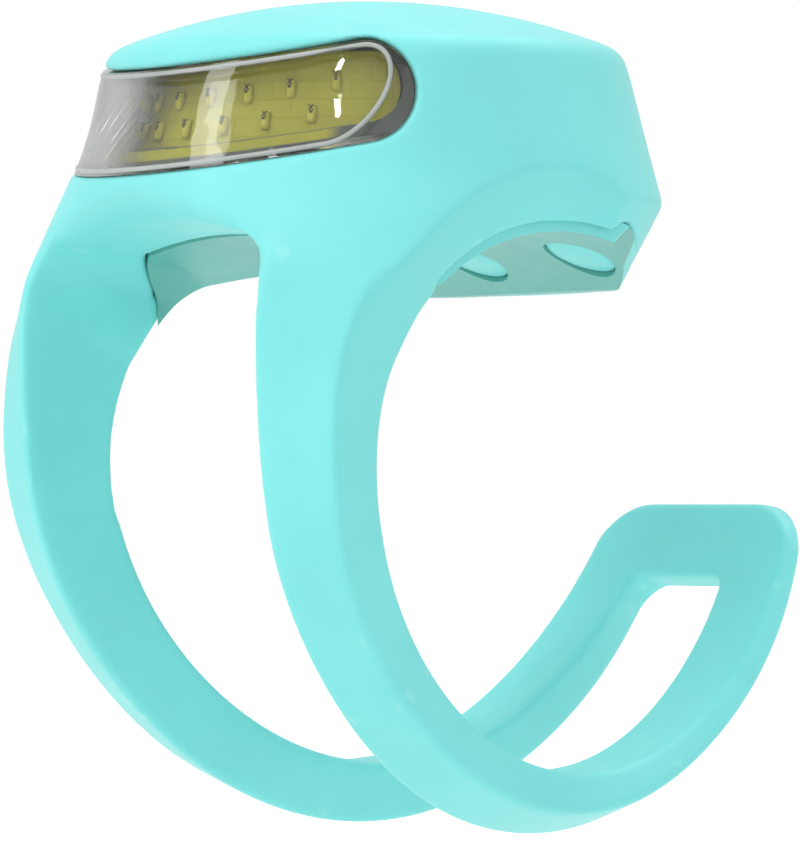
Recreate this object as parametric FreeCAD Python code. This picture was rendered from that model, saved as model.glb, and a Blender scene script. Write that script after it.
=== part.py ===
import FreeCAD
import Part
import functools
import math
import os

# Bicycle light with a silicone skin that wraps a handlebar. Millimetres, +Z up, lens towards -Y.
# The origin is on the axis of the handlebar, at the middle of the light's width. X runs along the bar.

V = FreeCAD.Vector
X_AXIS = V(1, 0, 0)
Y_AXIS = V(0, 1, 0)
Z_AXIS = V(0, 0, 1)

# The handlebar that the light sits on
bar_radius = 15.9

# Head: level outlines, round at the rear and squarer in front towards the arms
# height, half width, front reach, rear reach, squareness of the front half
head_levels = [
    (8.0, 24.8, 24.8, 18.6, 3.5),
    (12.0, 23.8, 24.7, 18.5, 3.0),
    (16.0, 22.4, 24.3, 18.1, 2.45),
    (18.8, 21.6, 24.0, 17.5, 2.15),
    (21.0, 20.9, 23.6, 17.0, 2.0),
    (25.0, 19.7, 22.4, 16.1, 2.0),
    (29.5, 18.4, 20.8, 14.8, 2.0),
    (34.0, 17.1, 19.1, 12.8, 2.0),
]
head_centre_y = -3.0
section_points = 32
roof_height = 32.7
roof_radius = 48.0
roof_edge_fillet = 2.0

# Underside of the head
rim_height = 12.3
rear_bevel_height = 18.3
rear_bevel_run = 3.1
saddle_half_width = 18.8
# angle about the bar, rise of the side bevel over its run
saddle_bevels = [
    (15.0, 1.85),
    (60.0, 1.85),
    (90.0, 1.85),
    (120.0, 1.9),
    (143.0, 2.0),
    (156.0, 2.7),
    (175.0, 3.2),
]
bevel_run = 8.0

# Silicone skin over the pod, and the gap of pieces that sit in one another
skin = 1.6
fit_gap = 0.05
close_gap = 0.02
loose_gap = 0.1

# Cutters reach past every piece
cutter_length = 60.0
cutter_half = 30.0
slab_half = 40.0
slab_top = 50.0
overlap = 1.0

# Strap: an open loop about its own centre, behind the axis of the bar
strap_centre_y = 3.0
# angle, inner radius, edge radius, crown, inner half width, edge half width, slot half width
strap_stations = [
    (149.0, 18.0, 24.3, 5.4, 18.8, 21.0, 12.9),
    (156.0, 18.3, 24.3, 4.3, 18.8, 20.8, 12.9),
    (165.0, 18.7, 24.1, 3.0, 18.8, 20.4, 12.9),
    (180.0, 18.8, 23.6, 2.1, 18.8, 20.2, 12.9),
    (200.0, 18.8, 23.1, 1.9, 18.2, 19.2, 12.35),
    (225.0, 19.3, 23.1, 1.6, 17.2, 18.0, 11.2),
    (250.0, 20.5, 23.9, 1.6, 16.1, 17.3, 9.75),
    (275.0, 21.8, 24.5, 1.9, 14.9, 16.5, 8.5),
    (300.0, 22.5, 24.3, 2.3, 13.8, 15.1, 7.3),
    (325.0, 23.1, 24.6, 2.1, 12.5, 13.5, 5.9),
    (340.0, 23.9, 25.3, 1.6, 11.4, 12.2, 4.9),
    (356.0, 25.2, 26.6, 1.1, 10.1, 10.6, 4.6),
]
strap_start_angle = 152.0
strap_end_angle = 353.4
strap_end_rounding = 6.0
slot_end_angle = 340.0
slot_end_rounding = 2.8
slot_flare = 1.1
slot_reach = 3.0
slot_column = 6
edge_column = 5

# Top of the opening between the two arms
# distance in front of the bar axis, height at the middle, corner radius
arm_gap_levels = [
    (5.0, 12.0, 1.6),
    (14.5, 15.8, 3.0),
    (27.0, 17.4, 4.0),
]
arm_gap_arch_radius = 48.0
arm_gap_station = 180.0
arm_gap_foot = -4.0

# Rounded lip over the opening: radius at the middle and where it fades out on the arms
lip_radius = 3.8
lip_end_radius = 0.3
lip_flatness = 0.85
lip_margin = 1.1
lip_overlap = 0.5
lip_cut = 2.0
lip_points = (6, 11, 6)

# Underside plate
plate_thickness = 1.6
plate_seam = 0.12
plate_half_width = 18.55
plate_front_height = 12.0
tongue_half_width = 12.4
tongue_reach = 14.6
tongue_corner = 2.6
tongue_rear = -4.0
tongue_spread = 3.0
tongue_drop = 2.5
plate_top = 25.0
recess_radius = 2.7
recess_depth = 0.7
recess_spacing = 12.3
recess_y = 6.6
recess_cut = 4.0
peg_radius = 1.2
peg_spacing = 9.0
peg_depth = 1.0
peg_root = 0.5

# Hook behind the head, for the end of the strap's slot
hook_half_width = 2.1
hook_height = 16.4
hook_thickness = 1.2
hook_gap = 1.9
hook_lip = 1.0
hook_lip_height = 2.6
hook_root = 5.0
hook_rounding = 0.35
hook_root_margin = 1.5
hook_root_rise = 1.2
hook_root_thickness = 1.0

# Part of the strap that bends, by angle about the strap's centre
flex_start_angle = 208.0
flex_end_angle = 244.0

# Light window, wrapped around the front
window_middle = 27.65
window_half_height = 3.4
window_half_angle = 52.5
window_tilt = 12.0
lens_inset = 0.12
lens_thickness = 2.0
gasket_thickness = 0.7
window_ledge = 0.9
window_reach = 40.0

# Pod inside the skin
pod_wall = 2.0
pod_roof = 0.6
pod_bottom = 17.75
pod_floor_thickness = 1.0
seal_inset = 0.65
seal_width = 0.7
seal_height = 0.65
seal_cut = 4.0
boss_radius = 2.2
boss_places = ((-15.0, -1.5), (15.0, -1.5), (0.0, 11.6))
boss_height = 6.5
screw_radius = 0.8
screw_length = 5.0
screw_head_radius = 1.5
screw_head_height = 0.75

# Light board with its packages, and the carrier behind it
board_inset = 4.0
board_thickness = 0.3
board_reach = 17.0
board_middle = 27.5
board_half_height = 3.0
board_half_angle = 50.0
led_pitch = 11.5
led_rows = ((9, 0.95), (8, -1.15))
led_gap = 0.05
led_width = 0.8
led_height = 1.4
led_depth = 0.7
carrier_thickness = 1.6

# Coin cells in a ring on the pod floor
cell_radius = 10.0
cell_height = 3.2
cell_count = 2
cell_y = -2.0
cell_gap = 0.15
ring_wall = 1.05
contact_thickness = 0.25
contact_radius = 4.0
contact_width = 3.0
contact_foot = 1.0
contact_slot_gap = 0.2
board_gap = 0.15

# Main board and what it carries
main_board_inset = 6.6
main_board_thickness = 0.6
chip_size = 4.0
chip_height = 0.9
chip_x = 4.0
chip_y = 2.0
part_count = 8
part_pitch = 2.0
part_start = -7.0
part_length = 1.0
part_size = 0.5
part_y = -8.6
connector_width = 6.0
connector_depth = 1.8
connector_height = 1.2
tail_width = 5.0
tail_thickness = 0.15
tail_rise = 0.4

# Switch under the roof: the middle of the roof is pressed
button_radius = 8.0
button_travel = 0.4
plunger_ledge = 0.65
stem_radius = 1.9
switch_size = 5.2
switch_height = 1.5
cap_radius = 1.2
cap_depth = 0.25
well_gap = 0.3
plunger_cut = 5.0
button_cut = 10.0
button_level = 8.0


# Straight edge between two points
def line(a, b):
    return Part.makeLine(a, b)


# Round edge through three points
def arc(a, b, c):
    return Part.Arc(a, b, c).toShape()


# Block between two limits on each axis
def box(x0, x1, y0, y1, z0, z1):
    return Part.makeBox(x1 - x0, y1 - y0, z1 - z0, V(x0, y0, z0))


# Round bar from a point along an axis
def rod(radius, length, start, axis):
    return Part.makeCylinder(radius, length, start, axis)


# One piece to its own file
def save(name, shape):
    shape.exportStep("parts/" + name + ".step")
    print(name, len(shape.Solids), round(shape.Volume, 2))


# One level of the head: a rounded front half and a round rear half, by polar angle
def head_section(level, inset):
    z, half, front, rear, squareness = level
    width = half - inset
    front_depth = front + head_centre_y - inset
    rear_depth = rear - head_centre_y - inset
    points = []
    for i in range(section_points):
        a = 2 * math.pi * i / section_points
        across = abs(math.cos(a))
        along = abs(math.sin(a))
        if math.sin(a) > 0:
            depth, power = rear_depth, 2.0
        else:
            depth, power = front_depth, squareness
        r = ((across / width) ** power + (along / depth) ** power) ** (-1 / power)
        points.append(V(r * math.cos(a), head_centre_y + r * math.sin(a), z))
    curve = Part.BSplineCurve()
    steps = [i / section_points for i in range(section_points + 1)]
    curve.interpolate(Points=points, PeriodicFlag=True, Parameters=steps)
    return Part.Wire([curve.toShape()])


# The sides of the head without its roof, moved inwards by a wall
def head_walls(inset):
    return Part.makeLoft([head_section(level, inset) for level in head_levels], True, False)


# The ball that the roof is a part of
def roof_form(inset):
    return Part.makeSphere(roof_radius - inset, V(0, head_centre_y, roof_height - roof_radius))


# The head's outer form, or the same form moved inwards by a wall
def head_form(inset):
    return head_walls(inset).common(roof_form(inset))


# The same form inside the skin, which also clears the side bevels and the lip
def inner_form(inset):
    return head_form(inset).cut(side_bevel(-1, inset)).cut(side_bevel(1, inset)).cut(lip(inset))


# A point of the strap's section plane at an angle about the strap's centre
def strap_point(angle, x, radius):
    a = math.radians(angle)
    return V(x, strap_centre_y + radius * math.cos(a), radius * math.sin(a))


# Six-sided section: bevelled lateral faces between a narrow inner face and the crests beside the slot
def strap_section(station):
    angle, inner, edge, crown, inner_half, edge_half, slot_half = station
    crest = slot_half + slot_flare
    half_outline = [(crest, edge + crown), (edge_half, edge), (inner_half, inner)]
    mirrored = [(-x, r) for x, r in reversed(half_outline)]
    corners = [strap_point(angle, x, r) for x, r in half_outline + mirrored]
    return Part.makePolygon(corners + corners[:1])


# Slice of the strap's plane between two angles, across the whole width
def strap_sector(start, end):
    hub = strap_point(0, -cutter_half, 0)
    a = strap_point(start, -cutter_half, cutter_length)
    b = strap_point((start + end) / 2, -cutter_half, cutter_length)
    c = strap_point(end, -cutter_half, cutter_length)
    outline = Part.Wire([line(hub, a), arc(a, b, c), line(c, hub)])
    return Part.Face(outline).extrude(X_AXIS * cutter_length)


# The slot along the strap, wider on the outside
def strap_slot():
    end = station_between(strap_stations, slot_end_angle)
    rows = [s for s in strap_stations[1:] if s[0] < slot_end_angle - 1.0] + [end]
    sections = [slot_section(row) for row in rows]
    slot = Part.makeLoft(sections, True, False)
    return slot.cut(rounded_end(slot_end_angle, slot_column, slot_flare, slot_end_rounding))


# The slot's outline at one angle
def slot_section(row):
    angle, inner, edge, crown, inner_half, edge_half, slot_half = row
    outer = edge + crown
    slope = slot_flare / (outer - inner)
    low = slot_half - slope * slot_reach
    high = slot_half + slot_flare + slope * slot_reach
    corners = [
        strap_point(angle, -low, inner - slot_reach),
        strap_point(angle, low, inner - slot_reach),
        strap_point(angle, high, outer + slot_reach),
        strap_point(angle, -high, outer + slot_reach),
    ]
    return Part.makePolygon(corners + corners[:1])


# Whether an edge lies in the plane at an angle about the strap's centre
def on_end_plane(edge, angle):
    a = math.radians(angle)
    across = V(0, -math.sin(a), math.cos(a))
    hub = V(0, strap_centre_y, 0)
    return all(abs((v.Point - hub).dot(across)) < 1e-4 for v in edge.Vertexes)


# The row of sizes at a height or an angle between two rows of a list
def station_between(rows, place):
    for before, after in zip(rows, rows[1:]):
        if before[0] <= place <= after[0]:
            share = (place - before[0]) / (after[0] - before[0])
            return [a + share * (b - a) for a, b in zip(before, after)]


# What to take off the two corners of a tapered end, to round them
def rounded_end(angle, column, extra, rounding):
    length = 8.0
    row = station_between(strap_stations, angle)
    radius = row[2]
    back = math.degrees(length / radius)
    tip_half = row[column] + extra
    root_half = station_between(strap_stations, angle - back)[column] + extra
    end = math.radians(angle)
    along = V(0, -math.sin(end), math.cos(end))
    outward = V(0, math.cos(end), math.sin(end))
    middle = V(0, strap_centre_y, 0) + outward * (radius - 2 * length)
    corners = [(-root_half, -length), (root_half, -length), (tip_half, 0.0), (-tip_half, 0.0)]
    outline = [middle + X_AXIS * x + along * s for x, s in corners]
    kept = Part.Face(Part.makePolygon(outline + outline[:1])).extrude(outward * 4 * length)
    level = [e for e in kept.Edges if abs(e.Vertexes[0].X - e.Vertexes[1].X) < loose_gap]
    kept = kept.makeFillet(rounding, [e for e in level if on_end_plane(e, angle)])
    return strap_sector(angle - back * 0.8, angle + 5.0).cut(kept)


# The opening between the arms, with its arched top
def arm_gap(lift=0.0, shrink=0.0):
    sections = []
    row = station_between(strap_stations, arm_gap_station)
    slope = slot_flare / (row[2] + row[3] - row[1])
    for reach, top, corner in arm_gap_levels:
        half = row[slot_column] + slope * (reach - bar_radius) - shrink
        peak = top + lift
        drop = half - corner
        shoulder = peak - arm_gap_arch_radius + math.sqrt(arm_gap_arch_radius**2 - drop**2)
        bend = corner * math.sin(math.pi / 4)
        y = -reach
        right = [
            V(half, y, arm_gap_foot),
            V(half, y, shoulder - corner),
            V(half - corner + bend, y, shoulder - corner + bend),
            V(half - corner, y, shoulder),
        ]
        left = [V(-p.x, p.y, p.z) for p in right]
        edges = [
            line(left[0], right[0]),
            line(right[0], right[1]),
            arc(right[1], right[2], right[3]),
            arc(right[3], V(0, y, peak), left[3]),
            arc(left[3], left[2], left[1]),
            line(left[1], left[0]),
        ]
        sections.append(Part.Wire(edges))
    return Part.makeLoft(sections, True, True)


# Points along the edge between the front of the head and the opening
@functools.lru_cache(None)
def lip_path():
    opening = head_form(0.0).cut(arm_gap())
    edges = []
    for e in opening.Edges:
        bounds = e.BoundBox
        low = pod_bottom - lip_radius * 2 < bounds.ZMin and bounds.ZMax < pod_bottom + overlap
        if low and bounds.YMax < -bar_radius and e.Length > overlap:
            edges.append(e)
    edges.sort(key=lambda e: e.BoundBox.Center.x)
    left, top, right = [e.discretize(n) for e, n in zip(edges, lip_points)]
    left.sort(key=lambda p: p.x + p.z)
    top.sort(key=lambda p: p.x)
    right.sort(key=lambda p: p.x - p.z)
    return left[:-1] + top + right[1:]


# What to take off that edge to round it, or to keep a wall inside the rounding
def lip(inset=0.0):
    path = lip_path()
    sections = []
    for i, p in enumerate(path):
        ahead = path[min(i + 1, len(path) - 1)] - path[max(i - 1, 0)]
        inward = V(-p.x, head_centre_y - p.y, 0).normalize()
        upward = ahead.cross(inward).normalize()
        share = math.sin(math.pi * i / (len(path) - 1)) ** 2
        r = lip_end_radius + (lip_radius - lip_end_radius) * share
        bend = r * (1 - math.sin(math.pi / 4)) * lip_flatness
        far = r * lip_margin
        outline = [(-lip_overlap, far), (bend, bend), (far, -lip_overlap), (far, -lip_cut)]
        outline += [(-lip_cut, -lip_cut), (-lip_cut, far)]
        a, b, c, d, e, f = [p + inward * (x + inset) + upward * (z + inset) for x, z in outline]
        sections.append(Part.Wire([arc(a, b, c), line(c, d), line(d, e), line(e, f), line(f, a)]))
    return Part.makeLoft(sections, True, True)


# Side bevel of the saddle, which gets steeper down the arm
def side_bevel(side, inset=0.0):
    sections = []
    for angle, rise in saddle_bevels:
        a = math.radians(angle)
        outline = [(0, 0), (bevel_run, -bevel_run), (bevel_run, bevel_run * rise), (0, 0)]
        points = []
        for x, r in outline:
            reach = bar_radius + r
            across = side * (saddle_half_width - inset + x)
            points.append(V(across, reach * math.cos(a), reach * math.sin(a)))
        sections.append(Part.makePolygon(points))
    return Part.makeLoft(sections, True, False)


# Bevel around the rear of the head, down to the rim
def rear_bevel():
    z, half, front, rear, squareness = station_between(head_levels, rear_bevel_height)
    low = (rim_height, half - rear_bevel_run, front, rear - rear_bevel_run, squareness)
    high = (rear_bevel_height, half, front, rear, squareness)
    kept = Part.makeLoft([head_section(low, 0.0), head_section(high, -fit_gap)], True, True)
    band = box(-cutter_half, cutter_half, head_centre_y, cutter_half, rim_height, rear_bevel_height)
    return band.cut(kept)


# The room that the handlebar takes
def bar_bore():
    return rod(bar_radius, cutter_length, V(-cutter_half, 0, 0), X_AXIS)


# Head and strap as one form, before they are parted
def outer_form():
    head = head_form(0.0)
    rim = [e for e in head.Edges if min(v.Z for v in e.Vertexes) > window_middle]
    head = head.makeFillet(roof_edge_fillet, [e for e in rim if e.Length > cutter_length])
    head = head.cut(strap_sector(strap_start_angle, strap_start_angle + 120.0))
    under_rim = box(-cutter_half, cutter_half, 0, cutter_half, 0, rim_height)
    for cut in (side_bevel(-1), side_bevel(1), rear_bevel(), under_rim):
        head = head.cut(cut)
    half_way = (strap_start_angle + strap_end_angle) / 2
    strap = Part.makeLoft([strap_section(s) for s in strap_stations], True, False)
    sectors = strap_sector(strap_start_angle, half_way).fuse(strap_sector(half_way, strap_end_angle))
    strap = strap.common(sectors).cut(rounded_end(strap_end_angle, edge_column, 0.0, strap_end_rounding))
    return head.fuse(strap).cut(bar_bore()).cut(arm_gap()).cut(strap_slot()).cut(lip())


# The plate's tongue between the arms, seen from above
def tongue_outline(grow):
    half = tongue_half_width + grow
    front = -tongue_reach - grow
    r = tongue_corner + grow
    bend = r * (1 - math.sin(math.pi / 4))
    rear = tongue_rear
    edges = [
        line(V(-half, rear, 0), V(-half, front + r, 0)),
        arc(V(-half, front + r, 0), V(-half + bend, front + bend, 0), V(-half + r, front, 0)),
        line(V(-half + r, front, 0), V(half - r, front, 0)),
        arc(V(half - r, front, 0), V(half - bend, front + bend, 0), V(half, front + r, 0)),
        line(V(half, front + r, 0), V(half, rear, 0)),
        line(V(half, rear, 0), V(-half, rear, 0)),
    ]
    return Part.Face(Part.Wire(edges))


# The space that the underside plate fills, grown by a seam for the skin's cut-out
def plate_zone(grow):
    half = plate_half_width + grow
    saddle = rod(bar_radius + plate_thickness + grow, 2 * half, V(-half, 0, 0), X_AXIS)
    saddle = saddle.common(box(-half, half, -plate_top, plate_top, plate_front_height - grow, plate_top))
    tongue = tongue_outline(grow).extrude(Z_AXIS * plate_top)
    tongue = tongue.common(arm_gap(plate_thickness + grow, -tongue_spread))
    tongue = tongue.common(box(-half, half, -plate_top, 0, plate_front_height - tongue_drop, plate_top))
    zone = saddle.fuse(tongue)
    for x in (-peg_spacing, peg_spacing):
        zone = zone.fuse(rod(peg_radius + grow, pod_bottom + peg_depth, V(x, 0, 0), Z_AXIS))
    return zone


# The underside plate with its pegs and recesses
def bottom_plate(form):
    plate = form.common(plate_zone(0.0))
    top = bar_radius + plate_thickness
    peg_length = pod_bottom + peg_depth - loose_gap - top + peg_root
    for x in (-peg_spacing, peg_spacing):
        plate = plate.fuse(rod(peg_radius, peg_length, V(x, 0, top - peg_root), Z_AXIS))
    slope = math.asin(recess_y / bar_radius)
    inward = V(0, -math.sin(slope), -math.cos(slope))
    for x in (-recess_spacing, 0, recess_spacing):
        wall = V(x, bar_radius * math.sin(slope), bar_radius * math.cos(slope))
        plate = plate.cut(rod(recess_radius, recess_cut, wall - inward * recess_depth, inward))
    return plate


# Hook behind the head: root in the skin, arm and upright lip
def rear_hook():
    level = station_between(head_levels, hook_height + hook_thickness)
    wall = level[3]
    lip = wall + hook_gap
    half = hook_half_width
    arm_top = hook_height + hook_thickness
    arm = box(-half, half, wall - hook_root, lip + hook_lip, hook_height, arm_top)
    upright = box(-half, half, lip, lip + hook_lip, hook_height, arm_top + hook_lip_height)
    root_half = half + hook_root_margin
    low = rim_height + hook_root_rise
    back = wall - hook_root
    root = box(-root_half, root_half, back - hook_root_thickness, back, low, pod_bottom - loose_gap)
    hook = arm.fuse(upright).fuse(root).removeSplitter()
    outside = [e for e in hook.Edges if min(v.Y for v in e.Vertexes) > wall]
    return hook.makeFillet(hook_rounding, [e for e in outside if e.Length > 2 * half - loose_gap])


# Band around the front with round ends, leaned down towards the front
def window(middle, half_height, half_angle, grow):
    height = half_height + grow
    centre = V(0, head_centre_y, 0)
    reach = window_reach
    a = math.radians(half_angle)
    left = centre + V(-reach * math.sin(a), -reach * math.cos(a), middle - height)
    front = centre + V(0, -reach, middle - height)
    right = centre + V(reach * math.sin(a), -reach * math.cos(a), middle - height)
    hub = centre + V(0, 0, middle - height)
    outline = Part.Wire([line(hub, left), arc(left, front, right), line(right, hub)])
    cut = Part.Face(outline).extrude(V(0, 0, 2 * height))
    for side in (-1, 1):
        axis = V(side * math.sin(a), -math.cos(a), 0)
        cut = cut.fuse(rod(height, reach, V(0, head_centre_y, middle), axis))
    cut.rotate(V(0, head_centre_y, middle), X_AXIS, window_tilt)
    return cut


# The window of the lens, grown or shrunk all round
def lens_window(grow):
    return window(window_middle, window_half_height, window_half_angle, grow)


# How deep the lens and its gasket sit, below the head's surface
def window_seat():
    return lens_inset + lens_thickness + fit_gap + gasket_thickness + fit_gap


# A wall that follows the head's sides, between two insets
def wall(outside, inside):
    return head_walls(outside).cut(head_walls(inside))


# Everything between two heights
def slab(low, high):
    return box(-slab_half, slab_half, -slab_half, slab_half, low, high)


# The skin and the strap: the outer form without the room of all that sits in it
def silicone(form):
    inner = inner_form(skin).common(slab(pod_bottom - fit_gap, slab_top))
    rubber = form.cut(inner).cut(plate_zone(plate_seam)).cut(rear_hook())
    rubber = rubber.cut(lens_window(0.0).common(slab(0, slab_half)).cut(head_walls(window_seat())))
    start = V(0, head_centre_y, pod_bottom + button_level)
    return rubber.cut(rod(button_radius + fit_gap, button_cut, start, Z_AXIS))


# A shape with a hole for each screw, between two heights
def screw_holes(shape, radius, low, high):
    for x, y in boss_places:
        shape = shape.cut(rod(radius, high - low, V(x, y, low), Z_AXIS))
    return shape


# The room inside the pod, with a thicker middle of its roof around the button
def pod_inside(clearance):
    inset = skin + fit_gap + pod_wall + clearance
    inside = head_walls(inset).common(roof_form(skin + fit_gap + pod_roof + clearance))
    for side in (-1, 1):
        inside = inside.cut(side_bevel(side, inset))
    return inside.cut(lip(inset)).common(slab(0, roof_height - inset))


# The seal's ring in the foot of the pod's wall, grown by a gap for its groove
def seal_ring(grow):
    low = inner_form(skin + seal_inset - grow).common(slab(pod_bottom, pod_bottom + seal_cut))
    return low.cut(inner_form(skin + seal_inset + seal_width + grow))


# The hard shell with its screw bosses, window and room for the button
def pod_shell(start):
    inside = pod_inside(0.0)
    shell = inner_form(skin + fit_gap).cut(inside)
    for x, y in boss_places:
        shell = shell.fuse(rod(boss_radius, boss_height, V(x, y, start), Z_AXIS).common(inside))
    shell = shell.common(slab(start, slab_top))
    shell = screw_holes(shell, screw_radius + close_gap, start - overlap, start + screw_length)
    shell = shell.cut(lens_window(fit_gap).cut(head_walls(window_seat())))
    shell = shell.cut(lens_window(-window_ledge))
    groove = seal_ring(fit_gap)
    shell = shell.cut(groove.common(slab(start - overlap, start + seal_height + fit_gap)))
    top = roof_height - skin - fit_gap
    ledge = top - pod_wall + plunger_ledge
    shell = shell.cut(rod(button_radius + fit_gap, plunger_cut, V(0, head_centre_y, ledge), Z_AXIS))
    below = V(0, head_centre_y, ledge - plunger_cut)
    return shell.cut(rod(stem_radius + fit_gap, 2 * plunger_cut, below, Z_AXIS))


# The pod's floor with the ring around the cells
def pod_floor(top, ring_top):
    floor = inner_form(skin + fit_gap).common(slab(pod_bottom, top))
    ring = rod(cell_radius + cell_gap + ring_wall, ring_top - top, V(0, cell_y, top), Z_AXIS)
    ring = ring.cut(rod(cell_radius + cell_gap, ring_top, V(0, cell_y, top), Z_AXIS))
    slot = contact_width / 2 + contact_slot_gap
    ring = ring.cut(box(-slot, slot, -cutter_half, cell_y, top, ring_top))
    floor = floor.fuse(ring)
    floor = screw_holes(floor, screw_radius + loose_gap, pod_bottom, top)
    sunk = pod_bottom + screw_head_height
    floor = screw_holes(floor, screw_head_radius + loose_gap, pod_bottom, sunk)
    for x in (-peg_spacing, peg_spacing):
        floor = floor.cut(rod(peg_radius + fit_gap, peg_depth, V(x, 0, pod_bottom), Z_AXIS))
    return floor


# The screws, from below
def pod_screws():
    screws = []
    for x, y in boss_places:
        head = rod(screw_head_radius, screw_head_height, V(x, y, pod_bottom), Z_AXIS)
        shank = rod(screw_radius, screw_length, V(x, y, pod_bottom + screw_head_height), Z_AXIS)
        screws.append(head.fuse(shank))
    return Part.makeCompound(screws)


# One light package on the curved board: turned about the head and leaned with the board's face
def light_package(face, angle, height):
    a = math.radians(angle)

    def reach(level):
        start = V(0, head_centre_y, level)
        ray = line(start, start + V(math.sin(a), -math.cos(a), 0) * head_levels[0][1] * 2)
        return face.common(ray).Length

    half = led_height / 2
    low = reach(height - half)
    high = reach(height + half)
    lean = math.degrees(math.atan((low - high) / led_height))
    package = box(-led_width / 2, led_width / 2, -led_depth, 0, -led_height / 2, led_height / 2)
    package.rotate(V(0, 0, 0), X_AXIS, -lean)
    package.translate(V(0, -(low + high) / 2 - led_gap, 0))
    package.rotate(V(0, 0, 0), Z_AXIS, angle)
    package.translate(V(0, head_centre_y, height))
    return package


# Two staggered rows of packages
def light_packages():
    face = head_walls(board_inset)
    packages = []
    for count, offset in led_rows:
        for i in range(count):
            angle = (i - (count - 1) / 2) * led_pitch
            drop = board_reach * math.cos(math.radians(angle)) * math.tan(math.radians(window_tilt))
            packages.append(light_package(face, angle, board_middle + offset - drop))
    return Part.makeCompound(packages)


# A row of small parts on the main board
def board_parts(top):
    parts = []
    half = part_length / 2
    for i in range(part_count):
        x = part_start + part_pitch * i
        parts.append(box(x - half, x + half, part_y, part_y + part_size, top, top + part_size))
    return Part.makeCompound(parts)


# Disc and foot between the upper cell and the board
def positive_contact(cell_top, board_bottom):
    height = board_bottom - cell_top
    disc = rod(contact_radius, contact_thickness, V(0, cell_y, cell_top), Z_AXIS)
    foot = box(-contact_width / 2, contact_width / 2, -contact_foot, contact_foot, 0, height)
    foot.translate(V(0, cell_y, cell_top))
    return disc.fuse(foot)


# Disc under the lower cell, with a strip that rises to the board outside the ring
def negative_contact(floor_top, board_bottom):
    front = cell_y - cell_radius - cell_gap - ring_wall - contact_thickness
    half = contact_width / 2
    disc = rod(contact_radius, contact_thickness, V(0, cell_y, floor_top), Z_AXIS)
    strip = box(-half, half, front, cell_y, floor_top, floor_top + contact_thickness)
    upright = box(-half, half, front, front + contact_thickness, floor_top, board_bottom)
    return disc.fuse(strip).fuse(upright)


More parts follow.
